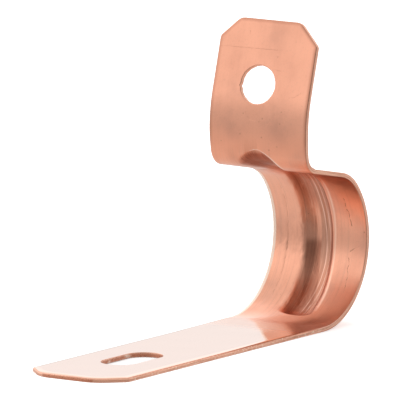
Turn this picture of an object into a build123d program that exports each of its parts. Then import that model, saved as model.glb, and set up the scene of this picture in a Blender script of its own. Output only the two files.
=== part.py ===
"""Cable clamp: one copper strip, pierced, beaded and bent into a loop that a single screw closes.

Frame, in millimetres: +X runs from the tip of the long leg to the loop, +Y along the cable, +Z up.
The long leg rests on Z = 0, and the origin lies under the middle of the clamp.
"""
from build123d import *
from math import atan, sqrt, tan
import os

# Sheet
strip_width = 19.0
thickness = 0.8
rim_bevel = 0.25            # stands for the rounding that blanking leaves along the inner face's edges
corner_round = 0.9          # where a cut corner meets the side of the strip

# Long leg, flat, with the slot that the screw passes through
leg_length = 64.2
tip_cut = 4.0               # of both corners
tip_round = 5.0             # where a cut corner meets the end
slot_width = 6.4
slot_length = 13.6
slot_from_tip = 19.5

# Loop round the cable, measured on the inner face, and the straight top that leaves it
loop_radius = 13.4
loop_angle = 132.6
shoulder_radius = 8.1
shoulder_angle = 36.6
top_length = 9.0

# Ear, bent back from the top and slightly curved
bend_radius = 2.8           # inside of the bend
bend_angle = 69.3
ear_curve_radius = 22.8
ear_curve_angle = 25.7
ear_length = 12.9
ear_cut_near = 3.8          # corner on the -Y side
ear_cut_far = 3.4           # corner on the +Y side
ear_hole_diameter = 6.6
ear_hole_from_end = 11.3
ear_hole_shift = 0.8        # the hole was punched a little towards the far edge

# Stiffening bead, pressed outwards, from low on the loop to the ear's bend: a groove with a steep wall on
# the near side, -Y, and a long easy wall on the far side. Places are measured from the strip's middle.
bead_near_lip = 3.1
bead_near_foot = 1.6
bead_far_foot = 0.3
bead_far_lip = 3.9
bead_depth = 1.0
bead_start_angle = 19.0     # on the loop, from the end of the long leg
bead_end_length = 2.6       # of the rounded end on the loop

# Dart that the bead widens into where it crosses the ear's bend
dart_near_lip = 4.2
dart_near_foot = 1.3
dart_far_foot = 2.1
dart_far_lip = 5.0
dart_depth = 1.3
dart_reach = 0.8            # past the bend, up the ear

# Lips and feet of both grooves from the near side to the far one
bead_lips = (-bead_near_lip, -bead_near_foot, bead_far_foot, bead_far_lip)
dart_lips = (-dart_near_lip, -dart_near_foot, dart_far_foot, dart_far_lip)

# Shares of the way along a bead end at which its sections are drawn
end_shares = (0.0, 0.25, 0.5, 0.7, 0.88, 1.0)

# The loop starts here, so that the box of the whole clamp is centred on X = 0
loop_start = (leg_length - loop_radius - bead_depth - thickness) / 2


def station(edge, share):
    """Plane square to the strip's path: x across the strip, y out of the inner face, z along it."""
    return Plane(origin=edge @ share, x_dir=(0, 1, 0), z_dir=edge % share)


def plain_section(plane):
    """Section of the strip where it has no bead, its inner face on the plane's x axis."""
    with BuildSketch(plane) as section:
        with Locations((0, -thickness / 2)):
            Rectangle(strip_width, thickness)
        chamfer(section.vertices().group_by(Axis.Y)[-1], rim_bevel)
    return section.sketch


def narrowed(lips, share):
    """Lips and feet of a groove, drawn in to a share of their distance from the middle of its floor."""
    middle = (lips[1] + lips[2]) / 2
    return [middle + share * (place - middle) for place in lips]


def bead_section(plane, lips=bead_lips, depth=bead_depth):
    """Section of the strip with the bead pressed into it, at even thickness."""
    edge, bottom = strip_width / 2, thickness + depth
    near_lip, near_foot, far_foot, far_lip = lips
    near_wall, far_wall = (near_lip + near_foot) / 2, (far_lip + far_foot) / 2
    near_back = thickness * tan(atan(2 * depth / (near_foot - near_lip)) / 2)
    far_back = thickness * tan(atan(2 * depth / (far_lip - far_foot)) / 2)
    with BuildSketch(plane) as section:
        with BuildLine():
            # Inner face, from the near rim down into the groove and out to the far rim
            Line((-edge, -rim_bevel), (rim_bevel - edge, 0))
            Line((rim_bevel - edge, 0), (near_lip, 0))
            Bezier((near_lip, 0), (near_wall, 0), (near_wall, -depth), (near_foot, -depth))
            Line((near_foot, -depth), (far_foot, -depth))
            Bezier((far_foot, -depth), (far_wall, -depth), (far_wall, 0), (far_lip, 0))
            Line((far_lip, 0), (edge - rim_bevel, 0))
            Line((edge - rim_bevel, 0), (edge, -rim_bevel))
            Line((edge, -rim_bevel), (edge, -thickness))
            # Outer face, back over the ridge
            Line((edge, -thickness), (far_lip + far_back, -thickness))
            Bezier(
                (far_lip + far_back, -thickness),
                (far_wall + far_back, -thickness),
                (far_wall + far_back, -bottom),
                (far_foot + far_back, -bottom),
            )
            Line((far_foot + far_back, -bottom), (near_foot - near_back, -bottom))
            Bezier(
                (near_foot - near_back, -bottom),
                (near_wall - near_back, -bottom),
                (near_wall - near_back, -thickness),
                (near_lip - near_back, -thickness),
            )
            Line((near_lip - near_back, -thickness), (-edge, -thickness))
            Line((-edge, -thickness), (-edge, -rim_bevel))
        make_face()
    return section.sketch


def bead_end_section(plane, share):
    """Section through the rounded end on the loop, at a share of the way from full bead to tip."""
    narrowing = max(sqrt(1 - share**2), 0.25)
    return bead_section(plane, narrowed(bead_lips, narrowing), bead_depth * (1 - share**4))


def dart_section(plane, share):
    """Section through the dart on the ear's bend, at a share of the way from its start to its tip."""
    narrowing = max((1 - share**2.5) ** 0.7, 0.15)
    return bead_section(plane, narrowed(dart_lips, narrowing), dart_depth * (1 - share**2))


def flat_end(face, length, left_cut, right_cut, end_round):
    """Flat end of the strip: corners cut off, rim bevelled, square where it meets the rest."""
    side = strip_width / 2
    with BuildPart() as plate:
        with BuildSketch(face) as outline:
            with BuildLine():
                Polyline(
                    (0, -side),
                    (length - left_cut, -side),
                    (length, left_cut - side),
                    (length, side - right_cut),
                    (length - right_cut, side),
                    (0, side),
                    close=True,
                )
            make_face()
            fillet(outline.vertices().group_by(Axis.X)[-1], end_round)
            left_side, right_side = outline.vertices().group_by(Axis.Y)[0], outline.vertices().group_by(Axis.Y)[-1]
            fillet([left_side.sort_by(Axis.X)[-1], right_side.sort_by(Axis.X)[-1]], corner_round)
        extrude(amount=-thickness)
        rim = plate.edges().group_by(Axis(face.origin, face.z_dir))[-1]
        chamfer(rim.sort_by(Axis(face.origin, face.x_dir))[1:], rim_bevel)
    return plate.part


# Path of the inner face, from the tip of the long leg to the end of the ear
with BuildLine(Plane.XZ) as path:
    leg = Line((loop_start - leg_length, thickness), (loop_start, thickness))
    loop = JernArc(leg @ 1, leg % 1, loop_radius, loop_angle)
    shoulder = JernArc(loop @ 1, loop % 1, shoulder_radius, shoulder_angle)
    top = Line(shoulder @ 1, shoulder @ 1 + top_length * (shoulder % 1))
    bend = JernArc(top @ 1, top % 1, bend_radius + thickness, -bend_angle)
    ear_curve = JernArc(bend @ 1, bend % 1, ear_curve_radius, -ear_curve_angle)
    ear = Line(ear_curve @ 1, ear_curve @ 1 + ear_length * (ear_curve % 1))

inwards, backwards = (0, -1, 0), (0, 1, 0)
loop_axis = Axis(loop.arc_center, inwards)
leg_face = Plane(origin=leg @ 1, x_dir=(-1, 0, 0), z_dir=(0, 0, 1))
ear_face = Plane(origin=ear @ 0, x_dir=ear % 0, z_dir=station(ear, 0).y_dir)

# The bead's rounded end as shares of the loop, and the dart as lengths along the bend and the ear
bead_tip = bead_start_angle / loop_angle
bead_full = bead_tip + bead_end_length / loop.length
dart_length = bend.length + dart_reach
dart_tip = dart_reach / ear_curve.length


def end_station(share):
    """Plane square to the path at a share of the bead's rounded end, from the full bead to the tip."""
    return station(loop, bead_full + share * (bead_tip - bead_full))


def dart_station(share):
    """Plane square to the path at a share of the dart, which passes from the bend to the ear's curve."""
    distance = share * dart_length
    if distance <= bend.length:
        return station(bend, distance / bend.length)
    return station(ear_curve, (distance - bend.length) / ear_curve.length)


with BuildPart() as clamp_strap:
    # Long leg, and the plain start of the loop
    add(flat_end(leg_face, leg_length, tip_cut, tip_cut, tip_round))
    revolve(plain_section(station(loop, 0)), loop_axis, bead_start_angle)

    # Rounded end of the bead, then the bead round the loop and the shoulder
    loft([bead_end_section(end_station(share), share) for share in end_shares])
    revolve(bead_section(station(loop, bead_full)), loop_axis, loop_angle * (1 - bead_full))
    revolve(bead_section(station(shoulder, 0)), Axis(shoulder.arc_center, inwards), shoulder_angle)

    # Along the top the bead widens into the dart, which runs out on the ear
    loft([bead_section(station(top, 0)), dart_section(station(top, 1), 0)])
    loft([dart_section(dart_station(share), share) for share in end_shares])

    # Ear
    ear_axis = Axis(ear_curve.arc_center, backwards)
    revolve(plain_section(station(ear_curve, dart_tip)), ear_axis, ear_curve_angle * (1 - dart_tip))
    add(flat_end(ear_face, ear_length, ear_cut_near, ear_cut_far, corner_round))

    # Slot in the long leg, punched from the inner face, so that its upper rim is bevelled
    with BuildSketch(leg_face) as slot_outline:
        with Locations((leg_length - slot_from_tip, 0)):
            SlotOverall(slot_length, slot_width)
    extrude(amount=-thickness, mode=Mode.SUBTRACT)
    slot_rim = clamp_strap.edges(Select.LAST).group_by(Axis.Z)[-1]
    chamfer(slot_rim, rim_bevel)

    # Hole in the ear, punched the same way
    with BuildSketch(ear_face) as hole_outline:
        with Locations((ear_length - ear_hole_from_end, ear_hole_shift)):
            Circle(ear_hole_diameter / 2)
    extrude(amount=2 * thickness, both=True, mode=Mode.SUBTRACT)
    across_ear = Axis(ear_face.origin, ear_face.z_dir)
    hole_rim = clamp_strap.edges(Select.LAST).filter_by_position(across_ear, -thickness / 2, thickness)
    chamfer(hole_rim.filter_by(GeomType.LINE, reverse=True), rim_bevel)

clamp_strap.part.label = "clamp_strap"

os.makedirs("parts", exist_ok=True)
export_step(clamp_strap.part, "parts/clamp_strap.step")
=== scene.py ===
"""Looks of the copper cable clamp: the strip's own mesh with its finishes, the studio and the camera.

Sizes are in millimetres on the flat strip. Meshes are made in metres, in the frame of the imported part.
"""
import logging
from dataclasses import dataclass, field
from enum import Enum
from typing import Any

import bpy
import numpy as np
from mathutils import Matrix, Vector

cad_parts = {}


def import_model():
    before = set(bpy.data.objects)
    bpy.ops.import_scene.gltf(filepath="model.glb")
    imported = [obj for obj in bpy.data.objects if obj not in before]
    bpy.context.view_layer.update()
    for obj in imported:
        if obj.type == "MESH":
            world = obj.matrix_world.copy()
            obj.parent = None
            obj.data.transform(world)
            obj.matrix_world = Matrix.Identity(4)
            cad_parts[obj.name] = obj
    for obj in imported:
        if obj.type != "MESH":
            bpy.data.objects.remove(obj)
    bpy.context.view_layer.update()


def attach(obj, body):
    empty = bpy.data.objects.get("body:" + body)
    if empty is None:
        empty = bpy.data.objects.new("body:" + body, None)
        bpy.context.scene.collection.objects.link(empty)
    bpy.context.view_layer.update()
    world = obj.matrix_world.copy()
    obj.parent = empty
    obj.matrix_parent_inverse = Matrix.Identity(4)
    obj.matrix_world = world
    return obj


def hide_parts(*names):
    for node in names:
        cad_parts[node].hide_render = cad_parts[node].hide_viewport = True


LOG = logging.getLogger("cable_clamp")
MM = 0.001
FLAT_MAP = "flat_strip"
FLAT_UNIT = 100.0
PRESSED = "pressed"
Array = np.ndarray
Triple = tuple[float, float, float]
Colour = Triple
Span = tuple[float, float]
WHITE = (1.0, 1.0, 1.0, 1.0)


class Face(Enum):
    """The two broad faces of the sheet."""

    INNER = 0
    OUTER = 1


class Skin(Enum):
    """Finishes of the strip, as its material slots are numbered."""

    ROLLED = 0
    SHEARED = 1


class Value:
    """A node's output that Python's operators join to Math nodes."""

    def __init__(self, graph: "Graph", socket: bpy.types.NodeSocket) -> None:
        """Keep the socket and the graph that new nodes go into."""
        self.graph = graph
        self.socket = socket

    def _math(self, operation: str, *terms: Any, **settings: Any) -> "Value":
        """Add a Math node.

        Args:
            operation: name of the Math operation.
            terms: its inputs in order, values or numbers.
            settings: further properties of the node.
        Returns:
            The node's result.
        """
        return self.graph.node("ShaderNodeMath", {"operation": operation, **settings}, dict(enumerate(terms)))

    def __add__(self, other: Any) -> "Value":
        """Sum of two values."""
        return self._math("ADD", self, other)

    __radd__ = __add__

    def __sub__(self, other: Any) -> "Value":
        """Difference of two values."""
        return self._math("SUBTRACT", self, other)

    def __rsub__(self, other: Any) -> "Value":
        """Difference with a number first."""
        return self._math("SUBTRACT", other, self)

    def __mul__(self, other: Any) -> "Value":
        """Product of two values."""
        return self._math("MULTIPLY", self, other)

    __rmul__ = __mul__

    def __pow__(self, other: Any) -> "Value":
        """Power of a value."""
        return self._math("POWER", self, other)

    def __abs__(self) -> "Value":
        """Size of a value without its sign."""
        return self._math("ABSOLUTE", self)

    def larger(self, other: Any) -> "Value":
        """The larger of two values."""
        return self._math("MAXIMUM", self, other)

    def smaller(self, other: Any) -> "Value":
        """The smaller of two values."""
        return self._math("MINIMUM", self, other)

    def clamped(self) -> "Value":
        """The value held between nought and one."""
        return self._math("ADD", self, 0.0, use_clamp=True)

    def rise(self, low: float, high: float) -> "Value":
        """Smooth step.

        Args:
            low: value at which the step is still nought.
            high: value at which it has reached one; below low, the step falls instead.
        Returns:
            The step, between nought and one.
        """
        return self.graph.node(
            "ShaderNodeMapRange",
            {"interpolation_type": "SMOOTHSTEP"},
            {"Value": self, "From Min": low, "From Max": high},
        )

    def bell(self, middle: float, half_width: float) -> "Value":
        """Soft band that is one at the middle and nought a half width away."""
        return abs(self - middle).rise(half_width, 0.0)

    def window(self, start: float, full: float, wane: float, gone: float) -> "Value":
        """Soft band that grows from start to full and shrinks from wane to gone."""
        return self.rise(start, full) * self.rise(gone, wane)


class Graph:
    """The nodes of one material or world."""

    def __init__(self, tree: bpy.types.NodeTree) -> None:
        """Start from an empty tree."""
        self.tree = tree
        tree.nodes.clear()

    def node(
        self,
        kind: str,
        settings: dict[str, Any] | None = None,
        sockets: dict[str | int, Any] | None = None,
        output: str | int = 0,
    ) -> Value:
        """Add a node.

        Args:
            kind: Blender's name for the node type.
            settings: properties that are set first.
            sockets: values or links by socket name or number.
            output: name or number of the output that is given back.
        Returns:
            That output.
        """
        node = self.tree.nodes.new(kind)
        for name, value in (settings or {}).items():
            setattr(node, name, value)
        for name, value in (sockets or {}).items():
            if isinstance(value, Value):
                self.tree.links.new(value.socket, node.inputs[name])
            else:
                node.inputs[name].default_value = value
        return Value(self, node.outputs[output]) if node.outputs else Value(self, node.inputs[0])

    def mix(self, share: Any, first: Any, second: Any) -> Value:
        """Mix two colours.

        Args:
            share: how much of the second colour shows.
            first: colour, or a value that carries one.
            second: likewise.
        Returns:
            The mixed colour.
        """
        colours = [c if isinstance(c, Value) else (*c, 1.0) for c in (first, second)]
        return self.node("ShaderNodeMix", {"data_type": "RGBA"}, {0: share, 6: colours[0], 7: colours[1]}, 2)

    def vector(self, x: Any, y: Any, z: Any = 0.0) -> Value:
        """Vector from three values."""
        return self.node("ShaderNodeCombineXYZ", None, {0: x, 1: y, 2: z})

    def noise(self, place: Value, detail: float = 2.0, roughness: float = 0.5) -> Value:
        """Even noise of unit scale at a place, about one half on average."""
        return self.node(
            "ShaderNodeTexNoise",
            None,
            {"Vector": place, "Scale": 1.0, "Detail": detail, "Roughness": roughness},
        )

    def dots(self, place: Value) -> Value:
        """Distance to the nearest of scattered points, one to a unit cell."""
        return self.node("ShaderNodeTexVoronoi", {"feature": "F1"}, {"Vector": place, "Scale": 1.0})


class FlatMaterial:
    """A material of the strip, which reads its places on the flat strip in millimetres."""

    def __init__(self, name: str) -> None:
        """Start an empty material with a given name."""
        self.material = bpy.data.materials.new(name)
        self.material.use_nodes = True
        self.graph = Graph(self.material.node_tree)
        flat = self.graph.node("ShaderNodeUVMap", {"uv_map": FLAT_MAP})
        self.along = self.graph.node("ShaderNodeSeparateXYZ", None, {0: flat}, "X") * FLAT_UNIT
        self.across = self.graph.node("ShaderNodeSeparateXYZ", None, {0: flat}, "Y") * FLAT_UNIT
        self.pressed = self.graph.node("ShaderNodeAttribute", {"attribute_name": PRESSED}, None, "Fac")

    def noise(
        self, along: float, across: float, layer: float, detail: float = 2.0, roughness: float = 0.5
    ) -> Value:
        """Noise over the flat strip.

        Args:
            along: swings to a millimetre along the strip.
            across: swings to a millimetre across it.
            layer: height at which the noise is cut, different for each use.
            detail: how many finer noises are added.
            roughness: how strong they are.
        Returns:
            The noise, about one half on average.
        """
        place = self.graph.vector(self.along * along, self.across * across, layer)
        return self.graph.noise(place, detail, roughness)

    def layered(self, ground: Colour, layers: list[tuple[Value, Colour]]) -> Value:
        """Lay colours over a ground, each with the share of it that shows, lowest first."""
        colour: Any = ground
        for share, tint in layers:
            colour = self.graph.mix(share, colour, tint)
        return colour

    def close(self, sockets: dict[str, Any], height: Value) -> bpy.types.Material:
        """End the material with its shader.

        Args:
            sockets: values of the shader by socket name.
            height: height of the surface in millimetres, for the bump.
        Returns:
            The material.
        """
        bump = self.graph.node("ShaderNodeBump", None, {"Strength": 1.0, "Distance": MM, "Height": height})
        shader = self.graph.node("ShaderNodeBsdfPrincipled", None, {**sockets, "Normal": bump})
        self.graph.node("ShaderNodeOutputMaterial", None, {"Surface": shader})
        return self.material


def ramp(place: Array, start: float, end: float) -> Array:
    """Share of the way from start to end, held between nought and one."""
    return np.clip((place - start) / (end - start), 0.0, 1.0)


@dataclass(frozen=True)
class StripPath:
    """Line of the inner face along the strip: straight runs and arcs in the X-Z plane."""

    start_x: float = -39.7
    start_z: float = 0.8
    leg_length: float = 64.2
    loop_radius: float = 13.4
    loop_angle: float = 132.6
    shoulder_radius: float = 8.1
    shoulder_angle: float = 36.6
    top_length: float = 9.0
    bend_radius: float = 3.6
    bend_angle: float = 69.3
    ear_curve_radius: float = 22.8
    ear_curve_angle: float = 25.7
    ear_length: float = 12.8
    ear_twist: float = 0.032
    twist_run: float = 8.0

    def turns(self) -> Array:
        """Angle that each run turns by, left turns positive."""
        degrees = [0, self.loop_angle, self.shoulder_angle, 0, -self.bend_angle, -self.ear_curve_angle, 0]
        return np.radians(np.array(degrees, float))

    def lengths(self) -> Array:
        """Length of each run: its own for a straight one, radius times angle for an arc."""
        ear_radii = [self.bend_radius, self.ear_curve_radius]
        radii = np.array([0, self.loop_radius, self.shoulder_radius, 0, *ear_radii, 0])
        straight = np.array([self.leg_length, 0, 0, self.top_length, 0, 0, self.ear_length])
        return straight + radii * np.abs(self.turns())

    def ends(self) -> Array:
        """Distance along the strip at which each run ends."""
        return np.cumsum(self.lengths())

    def carry(self, along: Array, across: Array, lift: Array) -> Array:
        """Bend places on the flat strip into the clamp.

        A run of length l that turns by a ends at the distance l sin(a/2)/(a/2), in the heading of its middle.
        That holds for straight runs and arcs alike, and for any part of a run. The lift goes along the
        normal of the inner face, to the left of the heading. The ear was left twisted: past its bend the
        lift grows with the distance across.

        Args:
            along: distance from the tip of the long leg.
            across: distance from the middle of the strip.
            lift: height over the inner face.
        Returns:
            Points in metres, with one more axis than the inputs.
        """
        lengths, turns, ends = self.lengths(), self.turns(), self.ends()
        lift = lift + self.ear_twist * ramp(along, ends[3], ends[3] + self.twist_run) * across
        headings = np.cumsum(turns) - turns
        chords = lengths * np.sinc(turns / (2 * np.pi))
        step_x = chords * np.cos(headings + turns / 2)
        step_z = chords * np.sin(headings + turns / 2)
        first_x = self.start_x + np.cumsum(step_x) - step_x
        first_z = self.start_z + np.cumsum(step_z) - step_z
        run = np.clip(np.searchsorted(ends, along), 0, len(ends) - 1)
        part = along - (ends - lengths)[run]
        turn = part * (turns / lengths)[run]
        chord = part * np.sinc(turn / (2 * np.pi))
        middle = headings[run] + turn / 2
        heading = headings[run] + turn
        x = first_x[run] + chord * np.cos(middle) - lift * np.sin(heading)
        z = first_z[run] + chord * np.sin(middle) + lift * np.cos(heading)
        return np.stack(np.broadcast_arrays(x, across, z), axis=-1) * MM


@dataclass(frozen=True)
class Bead:
    """Stiffening bead along the strip, and the dart that it widens into at the ear's bend.

    The bead was pressed a little askew: its lips and feet are given across the strip at a few stations.
    """

    begin: float = 68.5
    end_length: float = 2.2
    dart_begin: float = 109.39
    dart_end: float = 114.54
    low_middle: float = -0.9
    dart_middle: float = 0.4
    stations: tuple[float, ...] = (68.2, 75.2, 80.2, 84.2, 88.2, 92.2, 100.4, 109.4)
    near_lip: tuple[float, ...] = (-3.9, -3.75, -3.3, -3.05, -2.9, -2.8, -2.9, -4.2)
    near_foot: tuple[float, ...] = (-1.9, -1.8, -1.7, -1.6, -1.5, -1.4, -1.3, -1.3)
    far_foot: tuple[float, ...] = (-0.2, -0.1, 0.1, 0.3, 0.5, 0.7, 0.9, 1.7)
    far_lip: tuple[float, ...] = (3.4, 3.8, 3.6, 3.9, 4.3, 4.6, 4.7, 6.2)
    depths: tuple[float, ...] = (0.9, 1.0, 1.0, 1.0, 0.95, 0.85, 0.65, 1.3)

    def rise(self, along: Array, across: Array, sheet: float) -> tuple[Array, Array]:
        """Shape of the bead at places on the strip.

        Between its foot and its lip a wall is the cubic curve whose handles stand at half the wall's run:
        at a share u of the run, t = 1/2 + sinh(asinh(4 u - 2) / 3) and the height is 3 t^2 - 2 t^3. The
        lower end narrows as a blunt ellipse, the dart as a blunt power curve.

        Args:
            along: distance from the tip of the long leg.
            across: distance from the middle of the strip.
            sheet: thickness by which the outer face lies further out, nought for the inner face.
        Returns:
            How far the place lies down the wall, from nought at the lip to one on the floor, and the depth
            of the floor there.
        """
        dart = ramp(along, self.dart_begin, self.dart_end)
        low = ramp(along, self.begin + self.end_length, self.begin)
        depth = np.interp(along, self.stations, self.depths) * (1 - dart**2) * (1 - low**3)
        narrow = np.maximum((1 - dart**2.5) ** 0.7, 0.15) * np.maximum(np.sqrt(1 - low**4), 0.3)
        ends = (self.stations[0], self.stations[-1])
        middle = np.interp(along, ends, (self.low_middle, self.dart_middle))
        place = middle + (across - middle) / narrow
        shares = []
        walls = ((self.near_lip, self.near_foot, -1), (self.far_lip, self.far_foot, 1))
        for lip_line, foot_line, side in walls:
            lip = side * np.interp(along, self.stations, lip_line)
            foot = side * np.interp(along, self.stations, foot_line)
            back = sheet * np.tan(np.arctan2(2 * depth, (lip - foot) * narrow) / 2) / narrow
            shares.append((side * place - foot - back) / (lip - foot))
        share = np.clip(np.maximum(*shares), 0.0, 1.0)
        t = 0.5 + np.sinh(np.arcsinh(4 * share - 2) / 3)
        return 1 - 3 * t**2 + 2 * t**3, depth

    def sink(self, along: Array, across: Array, sheet: float) -> Array:
        """Depth of the bead at places on the strip, as rise() gives it, in millimetres."""
        share, depth = self.rise(along, across, sheet)
        return share * depth


@dataclass(frozen=True)
class Opening:
    """Slot or round hole in the flat strip, with the block of the strip that its patch fills."""

    along: float
    across: float
    radius: float
    straight: float
    reach: float
    roll: float
    ragged: float = 0.0
    nick: float = 0.0
    nick_angle: float = 1.68
    nick_spread: float = 0.06

    def edge(self, angle: Array, offset: Array | float) -> tuple[Array, Array]:
        """Outline at angles about the middle.

        A ray meets the straight side at radius / |sin a| while that lies within the straight half length c,
        and beyond it the end's circle at c |cos a| + sqrt(radius^2 - c^2 sin^2 a). A ragged edge adds small
        sines, and a nick a narrow bell on the far side.

        Args:
            angle: angle from the strip's length.
            offset: how far outside the opening's edge the outline lies.
        Returns:
            Distances along and across the strip.
        """
        radius = self.radius + offset
        sine, cosine = np.abs(np.sin(angle)), np.abs(np.cos(angle))
        tooth = np.sin(7 * angle + 0.7) + 0.7 * np.sin(19 * angle + 2.0) + 0.5 * np.sin(41 * angle)
        side = radius / np.maximum(sine, 1e-6)
        round_end = self.straight * cosine + np.sqrt(np.maximum(radius**2 - (self.straight * sine) ** 2, 0.0))
        nick = self.nick * np.exp(-(((angle - self.nick_angle) / self.nick_spread) ** 2))
        far = np.where(side * cosine <= self.straight, side, round_end) + self.ragged * tooth + nick
        return self.along + far * np.cos(angle), self.across + far * np.sin(angle)


@dataclass
class Quilt:
    """Grid patches that become one mesh where their edges meet."""

    points: list[Array] = field(default_factory=list)
    places: list[Array] = field(default_factory=list)
    faces: list[Array] = field(default_factory=list)
    skins: list[Array] = field(default_factory=list)
    pressed: list[Array] = field(default_factory=list)
    count: int = 0
    weld: float = 1e-7
    weld_shift: float = 0.371

    def add(self, points: Array, places: Array, pressed: Array, skin: Skin, turned: bool = False) -> None:
        """Add a patch, whose faces look along the first grid direction crossed with the second.

        Args:
            points: grid of points in metres.
            places: the same grid's places on the flat strip.
            pressed: how far down the bead, or down a sheared edge, each point lies, from nought to one.
            skin: finish of the patch.
            turned: whether its faces look the other way.
        """
        rows, columns = points.shape[:2]
        index = self.count + np.arange(rows * columns).reshape(rows, columns)
        corners = [index[:-1, :-1], index[1:, :-1], index[1:, 1:], index[:-1, 1:]]
        quads = np.stack(corners[::-1] if turned else corners, axis=-1).reshape(-1, 4)
        self.points.append(points.reshape(-1, 3))
        self.places.append(places.reshape(-1, 2))
        self.pressed.append(pressed.ravel())
        self.faces.append(quads)
        self.skins.append(np.full(len(quads), skin.value))
        self.count += rows * columns

    def mesh(self, name: str) -> bpy.types.Mesh:
        """Join the patches.

        Args:
            name: name of the mesh.
        Returns:
            A mesh of smooth quads with the flat strip's places as its UV map.
        """
        points = np.concatenate(self.points)
        corners = np.concatenate(self.faces).ravel()
        keys = np.floor(points / self.weld + self.weld_shift).astype(np.int64)
        _, first, joined = np.unique(keys, axis=0, return_index=True, return_inverse=True)
        mesh = bpy.data.meshes.new(name)
        mesh.vertices.add(len(first))
        mesh.vertices.foreach_set("co", points[first].ravel())
        mesh.loops.add(len(corners))
        mesh.loops.foreach_set("vertex_index", joined.ravel()[corners])
        mesh.polygons.add(len(corners) // 4)
        mesh.polygons.foreach_set("loop_start", np.arange(0, len(corners), 4))
        mesh.polygons.foreach_set("material_index", np.concatenate(self.skins))
        mesh.polygons.foreach_set("use_smooth", np.ones(len(corners) // 4, bool))
        pressed = mesh.attributes.new(PRESSED, "FLOAT", "POINT")
        pressed.data.foreach_set("value", np.concatenate(self.pressed)[first])
        flat = mesh.uv_layers.new(name=FLAT_MAP)
        flat.data.foreach_set("uv", (np.concatenate(self.places)[corners] / FLAT_UNIT).ravel())
        mesh.update(calc_edges=True)
        mesh.validate()
        return mesh


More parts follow.
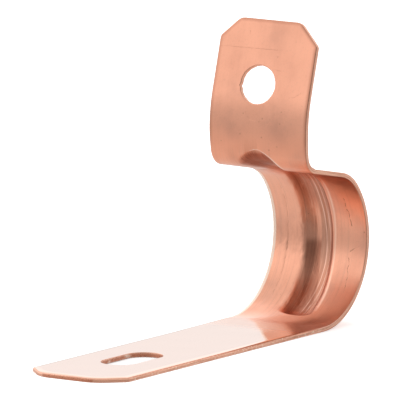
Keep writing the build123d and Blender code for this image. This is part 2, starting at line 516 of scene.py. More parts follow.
@dataclass
class ClampStrap:
    """The copper strip: blank, slot, hole, bead and bends."""

    path: StripPath = field(default_factory=StripPath)
    bead: Bead = field(default_factory=Bead)
    half_width: float = 9.5
    thickness: float = 0.8
    tip_cut: float = 4.0
    tip_round: float = 5.0
    ear_cut_near: float = 3.8
    ear_cut_far: float = 3.4
    ear_round: float = 2.0
    tip_side_round: float = 1.3
    corner_round: float = 0.9
    leg_roll: float = 1.2
    near_roll: float = 0.16
    far_roll: float = 0.34
    roll_steps: int = 7
    burr: float = 0.07
    die_mark: float = 6.4
    die_mark_depth: float = 0.03
    die_mark_spread: float = 0.12
    die_mark_begins: Span = (71.2, 74.2)
    die_mark_ends: Span = (99.2, 96.2)
    bead_grid: Triple = (61.2, 67.8, 72.4)
    dart_grid: float = 114.8
    close_begins: Span = (55.2, 64.2)
    close_ends: Span = (117.7, 114.7)
    loop_roll: Span = (46.0, 64.0)
    ear_roll: Span = (104.0, 112.0)
    end_roll: Span = (132.5, 135.5)
    outer_places: float = 40.0
    full_press: float = 0.6
    dish_span: Span = (50.0, 66.0)
    dish_depth: Span = (0.0008, 0.006)
    corner_steps: int = 8
    ray_steps: int = 22
    slot: Opening = field(default_factory=lambda: Opening(19.5, 0.0, 3.2, 3.6, 10.0, 0.1, 0.01))
    hole: Opening = field(default_factory=lambda: Opening(125.57, 0.8, 3.3, 0.0, 6.6, 0.16, 0.02, 0.16))

    def length(self) -> float:
        """Length of the flat strip."""
        return float(self.path.ends()[-1])

    def stations(self) -> Array:
        """Distances along the strip, between its cut corners, at which the grid has a line."""
        slip = np.tan(np.pi / 8)
        ends = self.path.ends()
        stops = [
            (self.tip_cut + self.tip_side_round * slip, 8),
            (self.slot.along - self.slot.reach, 40),
            (self.slot.along + self.slot.reach, 40),
            *zip(self.bead_grid, (12, 34, 50)),
            (ends[1], 20),
            (ends[2], 22),
            (ends[3], 40),
            (self.dart_grid, 8),
            (self.hole.along - self.hole.reach, 34),
            (self.hole.along + self.hole.reach, 2),
            (self.length() - self.ear_cut_near - self.corner_round * slip, 0),
        ]
        places = [place for place, _ in stops]
        counts = [count for _, count in stops]
        parts = [np.linspace(a, b, n, endpoint=False) for a, b, n in zip(places, places[1:], counts)]
        return np.concatenate([*parts, [places[-1]]])

    def between(self, low: float, high: float) -> Array:
        """Lines of the grid from one distance along the strip to another, both included."""
        stations = self.stations()
        return stations[(stations > low - 1e-6) & (stations < high + 1e-6)]

    def corner(self, cut: float, end_round: float, side_round: float) -> tuple[Array, Array]:
        """One cut corner with its two roundings, from the end's edge to the strip's side.

        Each rounding is an eighth of a circle whose normal turns from the end to the cut, or from the cut to
        the side.

        Args:
            cut: how much the cut takes off the end and off the side.
            end_round: radius of the rounding at the end.
            side_round: radius of the rounding at the side.
        Returns:
            Places on the outline and its outward normals, with the end of the strip at nought.
        """
        turn = np.linspace(np.pi, 0.75 * np.pi, self.corner_steps)
        low = np.stack([np.cos(turn), np.sin(turn)], axis=-1)
        high = np.stack([np.cos(turn - np.pi / 4), np.sin(turn - np.pi / 4)], axis=-1)
        slip = np.tan(np.pi / 8) * np.array([end_round, side_round])
        first = np.array([end_round, self.half_width - cut - slip[0]]) + end_round * low
        last = np.array([cut + slip[1], self.half_width - side_round]) + side_round * high
        share = np.linspace(0, 1, self.corner_steps)[1:-1, None]
        places = np.concatenate([first, first[-1] + share * (last[0] - first[-1]), last])
        normals = np.concatenate([low, np.repeat(low[-1:], len(share), axis=0), high])
        return places, normals

    def corners(self) -> list[tuple[Array, Array]]:
        """Outline and normals at the tip's near and far corners and at the ear's, each from end to side."""
        tip, facing = self.corner(self.tip_cut, self.tip_round, self.tip_side_round)
        near, near_facing = self.corner(self.ear_cut_near, self.ear_round, self.corner_round)
        far, far_facing = self.corner(self.ear_cut_far, self.ear_round, self.corner_round)
        flip, swap = np.array([1.0, -1.0]), np.array([-1.0, 1.0])
        whole = np.array([self.length(), 0.0])
        return [
            (tip * flip, facing * flip),
            (tip, facing),
            (whole - near, -near_facing),
            (whole + far * swap, far_facing * swap),
        ]

    def spread(self, along: Array) -> Array:
        """Lines along the strip: even on the leg and the ear, close together in the bead between.

        Args:
            along: distance from the tip of the long leg.
        Returns:
            Grid of shares of the half width, from the near edge at -1 to the far one at 1, one row for each
            distance along.
        """
        groove, mark_start, mark_end, edge = 5.0, self.die_mark - 0.25, self.die_mark + 0.25, 8.7
        stops = ((groove, mark_start, 4), (mark_start, mark_end, 5), (mark_end, edge, 5))
        outer = [np.linspace(start, end, count)[1:] for start, end, count in stops]
        right = np.concatenate([np.linspace(0.0, groove, 34), *outer]) / edge
        close = np.concatenate([-right[:0:-1], right])
        even = np.linspace(-1.0, 1.0, len(close))
        share = ramp(along, *self.close_begins) * ramp(along, *self.close_ends)
        return even + share[:, None] * (close - even)

    def lift(self, along: Array, across: Array, face: Face) -> Array:
        """Height of a broad face over the plain inner face.

        The bead sinks both faces. The press leaves a shallow groove beside it on the inner face, and slow
        waves, sums of sines, dish the inner face by some hundredths.

        Args:
            along: distance from the tip of the long leg.
            across: distance from the middle of the strip.
            face: which face.
        Returns:
            The height, negative into the sheet.
        """
        if face is Face.OUTER:
            return -self.thickness - self.bead.sink(along, across, self.thickness)
        pressed = ramp(along, *self.die_mark_begins) * ramp(along, *self.die_mark_ends)
        off_mark = (np.abs(across) - self.die_mark) / self.die_mark_spread
        groove = np.exp(-(off_mark**2)) * self.die_mark_depth * pressed
        wave = np.sin(along * 0.71 + across * 0.33) + np.sin(along * 0.37 - across * 0.52 + 1.0)
        wave = wave + 0.6 * np.sin(across * 1.1 + along * 0.13 + 2.0) - 2.6
        inside = np.clip((self.half_width - np.abs(across)) / 1.5 - 0.3, 0, 1)
        dish = np.interp(along, self.dish_span, self.dish_depth)
        return dish * wave * inside - groove - self.bead.sink(along, across, 0.0)

    def rolled(self, along: Array, far: Array) -> Array:
        """Width of the rounding along the strip's edge: broad on the long leg, tight on loop and ear.

        Args:
            along: distance from the tip of the long leg.
            far: one for the far edge, nought for the near one.
        Returns:
            The width.
        """
        loop, ear, end = [ramp(along, *span) for span in (self.loop_roll, self.ear_roll, self.end_roll)]
        tight = self.near_roll + (far * (1 - ear) + end) * (self.far_roll - self.near_roll)
        return self.leg_roll + loop * (tight - self.leg_roll)

    def rim(self, width: Array) -> tuple[Array, Array, Array]:
        """Profiles of a sheared rim, from the inner face to the outer one.

        A quarter of an ellipse drawn in by the punch, deeper where it is wider, then the sheared wall and a
        small round for the burr.

        Args:
            width: width of the rounding at each point of the edge.
        Returns:
            Distance inside the edge, depth below the inner face, and length along the profile, one column for
            each point of the edge.
        """
        turn = np.linspace(0, np.pi / 2, self.roll_steps + 1)[:, None]
        tight = np.linspace(0, np.pi / 2, 4)[:, None]
        plain = np.zeros((1, len(width)))
        inset = np.concatenate([width * (1 - np.sin(turn)), plain, plain + self.burr * (1 - np.cos(tight))])
        depth = np.concatenate([
            (0.12 + 0.22 * width) * (1 - np.cos(turn)),
            plain + 0.6 * self.thickness,
            plain + self.thickness - self.burr * (1 - np.sin(tight)),
        ])
        steps = np.hypot(np.diff(inset, axis=0), np.diff(depth, axis=0))
        return inset, depth, np.concatenate([plain, np.cumsum(steps, axis=0)])

    def outline(self) -> tuple[Array, Array]:
        """Edge of the flat strip as a closed loop, anticlockwise, with its outward normals.

        Returns:
            Places and normals, the first repeated at the end.
        """
        tip_near, tip_far, ear_near, ear_far = self.corners()
        side = self.stations()[1:-1]
        lower = np.stack([side, np.full_like(side, -self.half_width)], axis=-1)
        upper = (lower * np.array([1.0, -1.0]))[::-1]
        share = 0.5 + 0.5 * self.spread(np.zeros(1))[0][1:-1, None]
        tip_line = tip_far[0][0] + share * (tip_near[0][0] - tip_far[0][0])
        ear_line = ear_near[0][0] + share * (ear_far[0][0] - ear_near[0][0])
        loop = [
            (tip_near[0], tip_near[1]),
            (lower, np.tile([0.0, -1.0], (len(side), 1))),
            (ear_near[0][::-1], ear_near[1][::-1]),
            (ear_line, np.tile([1.0, 0.0], (len(share), 1))),
            (ear_far[0], ear_far[1]),
            (upper, np.tile([0.0, 1.0], (len(side), 1))),
            (tip_far[0][::-1], tip_far[1][::-1]),
            (tip_line, np.tile([-1.0, 0.0], (len(share), 1))),
            (tip_near[0][:1], tip_near[1][:1]),
        ]
        return np.concatenate([places for places, _ in loop]), np.concatenate([facing for _, facing in loop])

    def add_field(self, quilt: Quilt, near: Array, far: Array, face: Face) -> None:
        """Add a plain stretch of a broad face, with grid lines straight from the near edge to the far one.

        Args:
            quilt: where the patch goes.
            near: places at which the lines start.
            far: places at which they end.
            face: which face.
        """
        share = 0.5 + 0.5 * self.spread(near[:, 0])[..., None]
        places = near[:, None] + share * (far - near)[:, None]
        self.add_face(quilt, places[..., 0], places[..., 1], face)

    def add_face(self, quilt: Quilt, along: Array, across: Array, face: Face) -> None:
        """Add a grid of places of a broad face, turned so that it looks out of the sheet."""
        shift = self.outer_places if face is Face.OUTER else 0.0
        places = np.stack([along, across + shift], axis=-1)
        points = self.path.carry(along, across, self.lift(along, across, face))
        share, depth = self.bead.rise(along, across, 0.0 if face is Face.INNER else self.thickness)
        pressed = share * ramp(depth, 0.0, self.full_press)
        quilt.add(points, places, pressed, Skin.ROLLED, turned=face is Face.OUTER)

    def gap(self, along: Array, far: Array, face: Face) -> Array:
        """How far a broad face ends inside the strip's edge, far or near."""
        return self.rolled(along, far) if face is Face.INNER else np.full_like(along, self.burr)

    def block_edge(self, opening: Opening, face: Face) -> tuple[Array, Array]:
        """Closed edge of the block round an opening, anticlockwise, on the lines of the grid.

        Args:
            opening: the slot or the hole.
            face: which broad face.
        Returns:
            Distances along and across, the first point repeated at the end.
        """
        low, high = opening.along - opening.reach, opening.along + opening.reach
        side = self.between(low, high)
        near, far = [self.half_width - self.gap(side, one, face) for one in (0.0, 1.0)]
        share = 0.5 + 0.5 * self.spread(np.array([low, high]))
        cross = share * (near + far)[[0, -1], None] - near[[0, -1], None]
        count = cross.shape[1]
        along = [side[:-1], np.full(count - 1, side[-1]), side[:0:-1], np.full(count, side[0])]
        across = [-near[:-1], cross[1][:-1], far[:0:-1], cross[0][::-1]]
        return np.concatenate(along), np.concatenate(across)

    def add_opening(self, quilt: Quilt, opening: Opening) -> None:
        """Fill the block round an opening on both faces, and line the opening with a sheared rim.

        Each ray points from the opening's middle to a point of the block's edge on the inner face. It starts
        at the opening's edge, with its points closest together there.

        Args:
            quilt: where the patches go.
            opening: the slot or the hole.
        """
        share = np.linspace(0, 1, self.ray_steps)[:, None] ** 1.5
        along, across = self.block_edge(opening, Face.INNER)
        angle = np.arctan2(across - opening.across, along - opening.along)
        for face, gap in ((Face.INNER, opening.roll), (Face.OUTER, self.burr)):
            outer_along, outer_across = self.block_edge(opening, face)
            inner_along, inner_across = opening.edge(angle, gap)
            along = inner_along + share * (outer_along - inner_along)
            across = inner_across + share * (outer_across - inner_across)
            self.add_face(quilt, along, across, face)
        inset, depth, reach = self.rim(np.full(len(angle), opening.roll))
        along, across = opening.edge(angle, inset)
        places = np.stack(opening.edge(angle, opening.roll - reach), axis=-1)
        self.add_rim(quilt, along, across, places, depth, turned=True)

    def add_rim(
        self, quilt: Quilt, along: Array, across: Array, places: Array, depth: Array, turned: bool
    ) -> None:
        """Add a sheared rim, of which the start of the rounding belongs to the rolled face.

        Args:
            quilt: where the patches go.
            along: grid of distances along, one row for each point of the profile.
            across: likewise across.
            places: unrolled places of the grid.
            depth: depth of each point below the inner face.
            turned: whether the faces look the other way.
        """
        share = depth / self.thickness
        inner = self.lift(along, across, Face.INNER)
        outer = self.lift(along, across, Face.OUTER)
        points = self.path.carry(along, across, inner + share * (outer - inner))
        bend = self.roll_steps - 3
        plain = np.zeros(along.shape)
        quilt.add(points[: bend + 1], places[: bend + 1], plain[: bend + 1], Skin.ROLLED, turned)
        quilt.add(points[bend:], places[bend:], share[bend:], Skin.SHEARED, turned)

    def build(self) -> bpy.types.Object:
        """Make the strip's mesh from its fields, openings and rims.

        Returns:
            The object, at the origin.
        """
        quilt = Quilt()
        slot_ends = self.slot.along + self.slot.reach * np.array([-1.0, 1.0])
        hole_ends = self.hole.along + self.hole.reach * np.array([-1.0, 1.0])
        for face in Face:
            tip_near, tip_far, ear_near, ear_far = [
                places - self.gap(places[:, :1], places[:, 1:] > 0, face) * facing
                for places, facing in self.corners()
            ]
            lines = [
                self.between(0.0, slot_ends[0])[1:],
                self.between(slot_ends[1], hole_ends[0]),
                self.between(hole_ends[1], self.length())[:-1],
            ]
            near = [np.stack([line, self.gap(line, 0.0, face) - self.half_width], axis=-1) for line in lines]
            far = [np.stack([line, self.half_width - self.gap(line, 1.0, face)], axis=-1) for line in lines]
            near[0] = np.concatenate([tip_near, near[0]])
            far[0] = np.concatenate([tip_far, far[0]])
            near[2] = np.concatenate([near[2], ear_near[::-1]])
            far[2] = np.concatenate([far[2], ear_far[::-1]])
            for near_line, far_line in zip(near, far):
                self.add_field(quilt, near_line, far_line, face)
        self.add_opening(quilt, self.slot)
        self.add_opening(quilt, self.hole)
        edge, facing = self.outline()
        width = self.rolled(edge[:, 0], edge[:, 1] > 0)
        inset, depth, reach = self.rim(width)
        ring = edge - inset[..., None] * facing
        unrolled = edge + (reach - width)[..., None] * facing
        self.add_rim(quilt, ring[..., 0], ring[..., 1], unrolled, depth, turned=False)
        strap = bpy.data.objects.new("strap", quilt.mesh("strap"))
        bpy.context.scene.collection.objects.link(strap)
        return strap

    def dress(self, strap: bpy.types.Object) -> None:
        """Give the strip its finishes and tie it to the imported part."""
        strap.data.materials.append(RolledCopper().material(self))
        strap.data.materials.append(ShearedCopper().material())
        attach(strap, "root")
        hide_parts("clamp_strap")


def strongest(masks: list[Value]) -> Value:
    """The largest of several masks at each place."""
    mask = masks[0]
    for other in masks[1:]:
        mask = mask.larger(other)
    return mask


def distance(along: Value, across: Value) -> Value:
    """Length of a step along and across the strip."""
    return (along * along + across * across) ** 0.5


@dataclass(frozen=True)
class Spot:
    """Round mark on the flat strip: its middle, its reach and how strong it is."""

    along: float
    across: float
    reach: float
    strength: float

    def mask(self, along: Value, across: Value) -> Value:
        """Where the mark is: strongest in its middle and gone at its reach."""
        return distance(along - self.along, across - self.across).rise(self.reach, 0.0) * self.strength


@dataclass(frozen=True)
class Scratch:
    """Straight mark on the flat strip, from one place to another."""

    start: tuple[float, float]
    end: tuple[float, float]
    half_width: float

    def mask(self, along: Value, across: Value) -> Value:
        """Where the mark is: one on it, falling to nought a half width from the nearest point of its line.

        Args:
            along: distance from the tip of the long leg.
            across: distance from the middle of the strip.
        Returns:
            The mask.
        """
        run_along, run_across = self.end[0] - self.start[0], self.end[1] - self.start[1]
        square = run_along**2 + run_across**2
        along, across = along - self.start[0], across - self.start[1]
        share = (along * (run_along / square) + across * (run_across / square)).clamped()
        return distance(along - share * run_along, across - share * run_across).rise(self.half_width, 0.0)


@dataclass(frozen=True)
class RolledCopper:
    """Satin face of rolled copper sheet, with grain, patches, pits, scratches and press marks, and with
    painted reflections, shade and highlights.

    A span is a pair of distances on the flat strip, between which a mask grows from nought to one.
    """

    clean: Colour = (1.0, 0.48, 0.32)
    dull: Colour = (0.86, 0.4, 0.27)
    tarnish: Colour = (0.66, 0.34, 0.25)
    stain: Colour = (0.7, 0.35, 0.25)
    drawn: Colour = (0.56, 0.23, 0.145)
    # Painted highlight on the lines of the punch
    worn: Colour = (1.0, 0.6, 0.45)
    painted_shade_brown: Colour = (0.5, 0.27, 0.19)
    painted_dart_shade: Colour = (0.66, 0.18, 0.085)
    painted_floor_shade: Colour = (0.33, 0.1, 0.055)
    red: Colour = (1.0, 0.4, 0.24)
    painted_leg_reflection: Colour = (0.78, 0.5, 0.36)
    painted_highlight: Colour = (1.0, 0.84, 0.7)
    painted_foot_reflection: Colour = (0.95, 0.7, 0.57)
    crack: Colour = (0.2, 0.075, 0.04)
    leg: Span = (59.0, 52.0)
    ear: Span = (113.0, 117.0)
    dart: Span = (103.0, 108.5)
    painted_shade_edge: Span = (84.8, 83.2)
    inner_face: Span = (12.0, 11.0)
    far_mark: float = 6.35
    stains: tuple[Spot, ...] = (
        Spot(123.9, 5.8, 3.8, 0.45),
        Spot(119.1, 4.8, 4.6, 0.5),
        Spot(119.3, -4.0, 5.4, 0.5),
        Spot(133.7, -1.2, 4.8, 0.25),
        Spot(121.0, 8.4, 2.4, 0.45),
    )
    pits: tuple[Spot, ...] = (
        Spot(86.3, -9.0, 0.26, 1.0),
        Spot(120.5, 2.9, 0.22, 0.7),
        Spot(119.9, -0.9, 0.24, 0.8),
        Spot(117.0, 3.4, 0.24, 0.7),
        Spot(116.7, -0.8, 0.24, 0.8),
        Spot(114.6, -2.2, 0.26, 0.8),
        Spot(121.3, -4.5, 0.22, 0.7),
        Spot(115.3, -3.8, 0.22, 0.6),
    )
    scratches: tuple[Scratch, ...] = (
        Scratch((131.6, 8.9), (131.7, -2.6), 0.07),
        Scratch((128.4, -2.1), (128.2, -3.3), 0.08),
        Scratch((123.8, -5.6), (124.0, -6.7), 0.08),
        Scratch((124.0, -6.7), (124.8, -7.8), 0.07),
        Scratch((120.9, 2.6), (119.6, 1.7), 0.06),
        Scratch((119.6, 1.7), (119.4, 0.2), 0.06),
        Scratch((134.6, 3.9), (134.0, 3.7), 0.07),
        Scratch((130.6, -2.3), (130.0, -2.0), 0.1),
        Scratch((118.0, -1.0), (121.0, -3.4), 0.05),
    )
    cracks: tuple[Scratch, ...] = (
        Scratch((92.4, -5.9), (90.6, -5.95), 0.13),
        Scratch((90.2, -6.05), (87.2, -6.45), 0.13),
        Scratch((82.7, -6.35), (83.2, -6.95), 0.16),
        Scratch((83.2, -6.95), (83.7, -7.95), 0.08),
        Scratch((81.6, -6.3), (78.6, -6.6), 0.13),
        Scratch((78.3, -6.7), (75.4, -7.1), 0.07),
    )

    def marks(self, flat: FlatMaterial) -> tuple[Value, Value, Value]:
        """Where the face is marked.

        Scratches and cracks wander with one noise, and another breaks them up. Pits are the near surroundings
        of scattered points, besides those at places of their own.

        Args:
            flat: the material.
        Returns:
            Masks of the scratches, of the cracks and of the pits.
        """
        graph, along, across = flat.graph, flat.along, flat.across
        wander = flat.noise(1.3, 0.4, 2.0) - 0.5
        worn = 0.25 + 0.75 * flat.noise(1.6, 1.6, 8.0).rise(0.4, 0.6)
        shaken, loose = across + wander * 0.25, across + wander * 0.7
        scratches = strongest([scratch.mask(along, shaken) for scratch in self.scratches]) * worn
        cracks = strongest([crack.mask(along, loose) for crack in self.cracks]) * worn
        broken = graph.noise(graph.vector(along * 0.45, 5.0)).rise(0.4, 0.55)
        far_line = (across + wander * 0.5).bell(self.far_mark, 0.1) * along.window(71.0, 75.0, 92.0, 96.0)
        pits = graph.dots(graph.vector(along * 0.37, across * 0.37)).rise(0.06, 0.025) * 0.6
        pits = strongest([pits, *(pit.mask(along, across) for pit in self.pits)])
        return scratches, cracks.larger(far_line * broken * 0.5), pits

    @staticmethod
    def ear_edge(flat: FlatMaterial, strip: ClampStrap) -> Value:
        """Distance from the ear's outline: the least of those from its end, its cut corners and its sides."""
        end, across, side = strip.length() - flat.along, flat.across, strip.half_width
        near = (end + across + (side - strip.ear_cut_near)) * 0.5**0.5
        far = (end - across + (side - strip.ear_cut_far)) * 0.5**0.5
        return end.smaller(near).smaller(far).smaller(side - abs(across))

    @staticmethod
    def draw_lines(flat: FlatMaterial) -> tuple[Value, Value]:
        """Lines that the punch drew along the near wall of the bead, at its foot and its lip.

        Each line is a small step down towards the bead's floor, with a painted highlight.

        Args:
            flat: the material.
        Returns:
            Mask of the lines, which carry a painted highlight, and how many steps the surface has come down.
        """
        graph, along = flat.graph, flat.along
        swayed = flat.across + (graph.noise(graph.vector(along * 0.25, 1.0)) - 0.5) * 0.25
        foot = swayed + 1.15 + 0.75 * along.bell(80.0, 13.0)
        lip = swayed + 2.85 + 0.55 * along.rise(84.0, 72.0)
        inside = along.window(69.0, 71.5, 97.0, 103.0)
        worn = flat.noise(0.2, 0.3, 3.0, 3.0).rise(0.3, 0.55)
        lines = strongest([foot.bell(0.0, 0.2), foot.bell(0.8, 0.16) * worn, lip.bell(-0.35, 0.25)])
        steps = foot.rise(-0.2, 0.2) + 0.6 * worn * foot.rise(0.6, 1.0) + lip.rise(-0.7, 0.0)
        return lines * inside, steps * inside

    def material(self, strip: ClampStrap) -> bpy.types.Material:
        """Make the material.

        Args:
            strip: the strip that it goes on.
        Returns:
            A material that reads the flat strip's places.
        """
        flat = FlatMaterial("rolled_copper")
        along, across = flat.along, flat.across
        leg, ear = along.rise(*self.leg), along.rise(*self.ear)
        loop = (1 - leg) * (1 - ear)
        inner_face = across.rise(*self.inner_face)
        bead = flat.pressed.rise(0.02, 0.3)
        dart = along.rise(*self.dart) * flat.pressed.rise(0.15, 0.9)
        grain = flat.noise(0.05, 2.4, 0.0, 3.0, 0.6)
        patch = flat.noise(0.16, 0.2, 4.0, 4.0, 0.6)
        stain = flat.noise(0.13, 0.17, 9.0, 3.0)
        streak = flat.noise(0.03, 2.6, 12.0, 3.0, 0.65)
        speck = flat.noise(2.5, 2.5, 7.0, 3.0, 0.7)
        scratched, cracked, pits = self.marks(flat)
        lines, steps = self.draw_lines(flat)

        # Clean copper, dulled in patches and along the grain, and stained low on the ear
        shade = patch.rise(0.45, 0.7) * 0.4 + grain.rise(0.48, 0.72) * 0.25
        stains = strongest([spot.mask(along, across) for spot in self.stains])
        ear_rim = self.ear_edge(flat, strip).rise(0.8, 0.1) * inner_face * ear
        layers = [
            ((shade * (1 - 0.7 * leg) * (1 - 0.5 * ear)).clamped(), self.dull),
            (speck.rise(0.5, 0.72) * 0.2 * (1 - leg), self.tarnish),
            (along.bell(114.0, 6.0) * 0.5, self.red),
            (stain.rise(0.52, 0.68) * 0.3 * loop, self.tarnish),
            (stains * (0.15 + patch.rise(0.35, 0.65)), self.stain),
            (ear_rim * 0.6, self.drawn),
            # Painted reflection: the long leg is paler, for the bright room it mirrors
            (along.rise(70.0, 60.0) * 0.6, self.painted_leg_reflection),
        ]

        # Painted reflections, paler where loop and leg meet on the near side and browner high on that side,
        # and painted shade beside the dart
        foot = along.bell(65.0, 14.0) * across.rise(3.0, -4.0)
        high = along.window(90.0, 98.0, 106.0, 112.0) * across.rise(-2.5, -5.0)
        painted_bend_shade = along.bell(112.6, 2.8) * across.bell(5.2, 2.2)
        layers += [
            (foot * (0.7 + 0.3 * patch), self.painted_foot_reflection),
            (high * (0.55 + 0.4 * patch), self.painted_shade_brown),
            (painted_bend_shade * 0.3, self.drawn),
            (streak.rise(0.5, 0.7) * loop * 0.3, self.tarnish),
        ]

        # Drawn metal in the bead, darkened as painted shade, with painted shade on its near wall, on its
        # floor, where it is gone just above an edge, and in the dart
        floor = across - 1.7 * along.rise(71.0, 83.0)
        sides = (0.1 * floor.rise(-1.4, -2.0)).larger(floor.rise(1.0, 1.7)) * along.rise(92.0, 86.0)
        below = along.rise(*self.painted_shade_edge)
        above = (1 - below) * along.rise(92.5, 88.0) * floor.rise(-1.8, -1.4)
        wall = bead * floor.rise(-1.2, -1.8) * along.window(77.0, 82.0, 92.0, 100.0)
        band = floor.window(-1.65, -1.4, 0.85, 1.15) * along.rise(70.0, 71.2) * (1 - ear)
        inner = bead * (1 - 0.45 * sides) * (1 - 0.75 * above)
        layers += [
            (inner * (0.4 + 0.35 * streak.rise(0.4, 0.6)), self.drawn),
            (wall * 0.5, self.painted_shade_brown),
            (band * (0.25 + 0.22 * below - 0.25 * above), self.painted_floor_shade),
            (dart * 0.45, self.painted_dart_shade),
        ]

        # Painted highlights on the lip of the dart, the far rim of the loop and the lines of the punch, then
        # the marks
        lip = along.rise(110.0, 111.5) * flat.pressed.bell(0.05, 0.05) * across.rise(2.2, 1.0)
        far_rim_highlight = across.rise(8.74, 8.9) * inner_face * along.window(62.0, 64.0, 96.0, 100.0)
        layers += [
            (lip.larger(far_rim_highlight) * 0.8, self.painted_highlight),
            # Painted highlight along the lines of the punch
            (lines * 0.9, self.worn),
            ((cracked * 0.65).larger(pits * 0.42 * (1 - leg)), self.crack),
            (scratched * 0.28, self.drawn),
        ]

        fine = (grain - 0.5) * (0.006 - 0.0055 * leg) + (patch - 0.5) * 0.05 * (1 - leg)
        drawn = (streak - 0.5) * bead * 0.08 - steps * 0.09
        marked = cracked * 0.02 + pits * 0.01 + scratched * 0.025
        sockets = {
            "Base Color": flat.layered(self.clean, layers),
            "Metallic": 1 - 0.8 * far_rim_highlight,
            "Roughness": 0.33 - 0.27 * leg + (patch - 0.5) * 0.2 * (1 - leg) + dart * 0.4,
            "Coat Weight": (0.12 + 0.88 * along.rise(72.0, 60.0)).larger(across.bell(9.4, 0.35)) * (1 - dart),
            "Coat Roughness": 0.08,
        }
        return flat.close(sockets, fine + drawn - marked + (stain - 0.5) * ear * 0.04)


@dataclass(frozen=True)
class ShearedCopper:
    """Edge that the press cut, with lines along it and a paler, matter face.

    Each glint on the slot's wall has a distance along the strip, its half width, a depth and its half width.
    """

    clean: Colour = (0.98, 0.54, 0.38)
    dull: Colour = (0.66, 0.3, 0.19)
    fleck_and_slot_shade: Colour = (0.56, 0.2, 0.11)
    hole_wall: Colour = (0.84, 0.42, 0.27)
    glint: Colour = (1.0, 0.82, 0.68)
    slot_glints: tuple[tuple[float, ...], ...] = ((22.6, 1.2, 0.5, 0.6), (17.8, 0.5, 0.7, 0.4))
    opening_side: Span = (5.2, 4.8)

    def material(self) -> bpy.types.Material:
        """Make the material.

        Returns:
            A material that reads the flat strip's places.
        """
        flat = FlatMaterial("sheared_copper")
        graph, along, across, depth = flat.graph, flat.along, flat.across, flat.pressed
        lines = graph.noise(graph.vector(depth * 5.0, (along + across) * 0.1), 3.0, 0.6)
        nicks = flat.noise(2.2, 2.2, 6.0, 2.0, 0.6)
        slot = along.rise(32.0, 30.0) * abs(across).rise(*self.opening_side)
        hole = along.bell(125.6, 6.0).rise(0.0, 0.2) * abs(across - 0.8).rise(*self.opening_side)
        flecks = nicks.rise(0.5, 0.62) * (0.1 + 0.3 * lines) * along.window(4.0, 6.0, 64.0, 72.0)
        bright = nicks.rise(0.42, 0.34) * along.window(4.0, 6.0, 60.0, 66.0) * (1 - slot)
        sparks = [slot * along.bell(*glint[:2]) * depth.bell(*glint[2:]) for glint in self.slot_glints]
        layers = [
            (lines.rise(0.42, 0.62), self.dull),
            # Painted shade on the slot's wall below its rim, in the colour that also marks the flecks on the
            # leg's edges
            (flecks.larger(slot * depth.rise(0.2, 0.45) * 0.85), self.fleck_and_slot_shade),
            (strongest([bright, *sparks]) * 0.8, self.glint),
            (hole * 0.85, self.hole_wall),
        ]
        sockets = {
            "Base Color": flat.layered(self.clean, layers),
            "Metallic": 0.5 - 0.4 * hole,
            "Roughness": 0.42 + (nicks - 0.5) * 0.5 - slot * 0.12,
        }
        return flat.close(sockets, lines * 0.03 + nicks * (0.015 + 0.12 * slot))


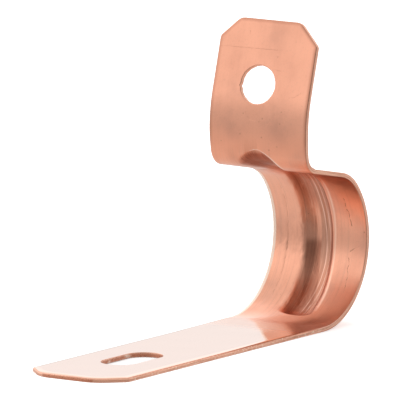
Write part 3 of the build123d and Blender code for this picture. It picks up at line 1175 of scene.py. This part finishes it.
@dataclass
class Studio:
    """White floor, soft light and the camera."""

    floor_reach: float = 1.2
    floor_drop: float = 0.03
    dark_way: Triple = (-0.55, -0.83, 0.0)
    back_way: Triple = (0.5, 0.866, 0.0)
    lamp_place: Triple = (0.15, 0.25, 0.9)
    lamp_aim: Triple = (0.0, 0.0, 0.02)
    lamp_size: float = 0.6
    lamp_watts: float = 6.0
    leg_middle: float = -0.01
    leg_reach: Span = (0.026, 0.024)
    leg_side: Span = (0.008, 0.006)
    turn: float = -57.073
    rise: float = 8.871
    roll: float = 0.356
    aim: Triple = (13.1, 0.0, 19.0)
    shift_x: float = -41.387
    shift_y: float = -24.423
    pixel: float = 0.168496
    distance: float = 1583.3
    picture: int = 400
    sensor: float = 36.0

    def floor(self) -> bpy.types.Object:
        """Lay the floor just under the clamp: white to the eye, but not where the long leg stands on it.

        Returns:
            The floor.
        """
        reach = self.floor_reach
        corners = np.array([[-1, -1, 0], [1, -1, 0], [1, 1, 0], [-1, 1, 0]]) * reach
        corners[:, 2] = -self.floor_drop * MM
        mesh = bpy.data.meshes.new("floor")
        mesh.from_pydata(corners.tolist(), [], [(0, 1, 2, 3)])
        floor = bpy.data.objects.new("floor", mesh)
        bpy.context.scene.collection.objects.link(floor)
        material = bpy.data.materials.new("white_floor")
        material.use_nodes = True
        graph = Graph(material.node_tree)
        seen = graph.node("ShaderNodeLightPath", None, None, "Is Camera Ray")
        place = graph.node("ShaderNodeTexCoord", None, None, "Object")
        length = graph.node("ShaderNodeSeparateXYZ", None, {0: place}, "X")
        width = graph.node("ShaderNodeSeparateXYZ", None, {0: place}, "Y")
        # Painted shade: the glow is left out under the long leg, so the floor seen through the slot is darker
        under = abs(length - self.leg_middle).rise(*self.leg_reach) * abs(width).rise(*self.leg_side)
        paint = graph.node("ShaderNodeBsdfDiffuse", None, {"Color": (0.85, 0.85, 0.85, 1.0)})
        glow = graph.node("ShaderNodeEmission", None, {"Color": WHITE, "Strength": 0.5})
        bright = graph.node("ShaderNodeAddShader", None, {0: paint, 1: glow})
        surface = graph.node("ShaderNodeMixShader", None, {0: seen * (1 - under), 1: paint, 2: bright})
        graph.node("ShaderNodeOutputMaterial", None, {"Surface": surface})
        mesh.materials.append(material)
        floor.visible_glossy = False
        return floor

    def world(self) -> None:
        """Light the room: white to the eye, and to metal a bright room with one dark side.

        The bright part is brightest a little above the horizon, and brighter again towards the floor. The
        dark side is dimmest a little above the horizon.
        """
        world = bpy.data.worlds.new("studio")
        world.use_nodes = True
        bpy.context.scene.world = world
        graph = Graph(world.node_tree)
        seen = graph.node("ShaderNodeLightPath", None, None, "Is Camera Ray")
        glossy = graph.node("ShaderNodeLightPath", None, None, "Is Glossy Ray")
        place = graph.node("ShaderNodeTexCoord", None, None, "Generated")
        height = graph.node("ShaderNodeSeparateXYZ", None, {0: place}, "Z")
        dark_side = self.towards(graph, place, self.dark_way).rise(0.1, 0.44)
        behind = self.towards(graph, place, self.back_way).rise(0.25, 0.75) * height.rise(-0.5, -0.1)
        bright = 0.66 + 0.48 * height.rise(0.05, 0.3) - 0.3 * height.rise(0.45, 0.85) + 0.12 * behind
        bright = bright + 0.16 * height.rise(-0.12, -0.45)
        dim = 0.22 + 0.14 * height.rise(0.2, -0.1) + 0.3 * height.rise(0.35, 0.6)
        level = bright + dark_side * (dim - bright)
        fill, metal, eye = [
            graph.node("ShaderNodeBackground", None, {"Color": WHITE, "Strength": strength})
            for strength in (0.7, level, 1.0)
        ]
        inside = graph.node("ShaderNodeMixShader", None, {0: glossy, 1: fill, 2: metal})
        whole = graph.node("ShaderNodeMixShader", None, {0: seen, 1: inside, 2: eye})
        graph.node("ShaderNodeOutputWorld", None, {"Surface": whole})

    @staticmethod
    def towards(graph: Graph, place: Value, way: Triple) -> Value:
        """How much a direction points a given way: their dot product."""
        return graph.node("ShaderNodeVectorMath", {"operation": "DOT_PRODUCT"}, {0: place, 1: way}, "Value")

    def lamp(self) -> None:
        """Hang a square soft lamp that looks at the clamp and isn't mirrored in it."""
        light = bpy.data.lights.new("soft_top", "AREA")
        light.shape = "SQUARE"
        light.size = self.lamp_size
        light.energy = self.lamp_watts
        lamp = bpy.data.objects.new("soft_top", light)
        lamp.location = self.lamp_place
        lamp.visible_glossy = False
        aim = Vector(self.lamp_aim) - Vector(self.lamp_place)
        lamp.rotation_euler = aim.to_track_quat("-Z", "Y").to_euler()
        bpy.context.scene.collection.objects.link(lamp)

    def camera(self) -> None:
        """Stand the camera at the photograph's viewing angle, with a long lens."""
        turn, rise, roll = np.radians([self.turn, self.rise, self.roll])
        back = np.array([np.sin(turn) * np.cos(rise), -np.cos(turn) * np.cos(rise), np.sin(rise)])
        right = np.array([np.cos(turn), np.sin(turn), 0.0])
        up = np.cross(back, right)
        right, up = right * np.cos(roll) + up * np.sin(roll), up * np.cos(roll) - right * np.sin(roll)
        middle = np.array(self.aim) + self.pixel * (self.shift_x * right - self.shift_y * up)
        matrix = np.eye(4)
        matrix[:3, :3] = np.stack([right, up, back], axis=-1)
        matrix[:3, 3] = (middle + back * self.distance) * MM
        view = bpy.data.cameras.new("camera")
        view.type = "PERSP"
        view.sensor_width = self.sensor
        view.lens = self.distance / self.pixel / self.picture * self.sensor
        view.clip_start = 0.01
        view.clip_end = 100.0
        camera = bpy.data.objects.new("camera", view)
        camera.matrix_world = Matrix(matrix.tolist())
        bpy.context.scene.collection.objects.link(camera)
        bpy.context.scene.camera = camera

    def build(self) -> None:
        """Set up floor, world, lamp, camera and the plain view transform."""
        bpy.context.scene.view_settings.view_transform = "Standard"
        self.floor()
        self.world()
        self.lamp()
        self.camera()


def main() -> None:
    """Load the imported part, build the strip and the studio, and report them."""
    logging.basicConfig(level=logging.INFO, format="%(name)s: %(message)s")
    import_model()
    clamp = ClampStrap()
    strap = clamp.build()
    clamp.dress(strap)
    LOG.info("strap: %d points, %d faces", len(strap.data.vertices), len(strap.data.polygons))
    Studio().build()
    LOG.info("studio: floor, world, lamp and camera")


if __name__ == "__main__":
    main()
